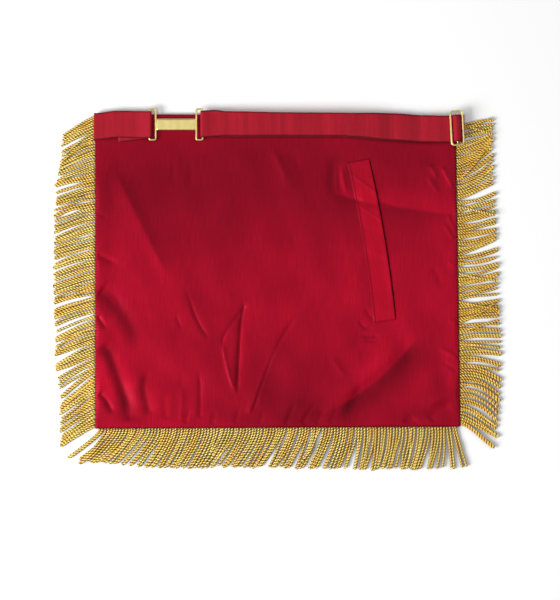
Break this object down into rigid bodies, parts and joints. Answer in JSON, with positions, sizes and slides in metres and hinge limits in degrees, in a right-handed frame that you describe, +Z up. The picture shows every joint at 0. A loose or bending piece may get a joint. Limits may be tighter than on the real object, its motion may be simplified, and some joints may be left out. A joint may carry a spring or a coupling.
{
  "type": "fringed ceremonial apron",
  "caption": "Rectangular crimson satin apron lying face down, with a slanted welt pocket, gold twisted-cord fringe on three sides and a webbing belt with slider and clasp.",
  "frame": {"origin": "middle of the bounding box, on the floor that the apron lies on", "axes": "+X across the apron towards the slider's side, +Y towards the waist edge, +Z up, out of the lining"},
  "size_m": [0.5054, 0.4074, 0.0133],
  "materials": {
    "front_satin": "satin cloth, crimson",
    "lining_satin": "satin cloth, crimson, soft sheen",
    "welt_satin": "satin cloth, crimson, stitched",
    "bullion_cord": "twisted metallic gold cord",
    "ribbed_webbing": "fine-ribbed webbing, red",
    "gilt_metal": "polished pale gold plate"
  },
  "bodies": {
    "root": {"front_panel": "front_satin", "back_lining": "lining_satin", "pocket_welt": "welt_satin", "fringe_left": "bullion_cord", "fringe_bottom": "bullion_cord", "fringe_right": "bullion_cord", "belt_left": "ribbed_webbing", "belt_right": "ribbed_webbing", "belt_slider": "gilt_metal", "belt_clasp": "gilt_metal"}
  },
  "joints": []
}
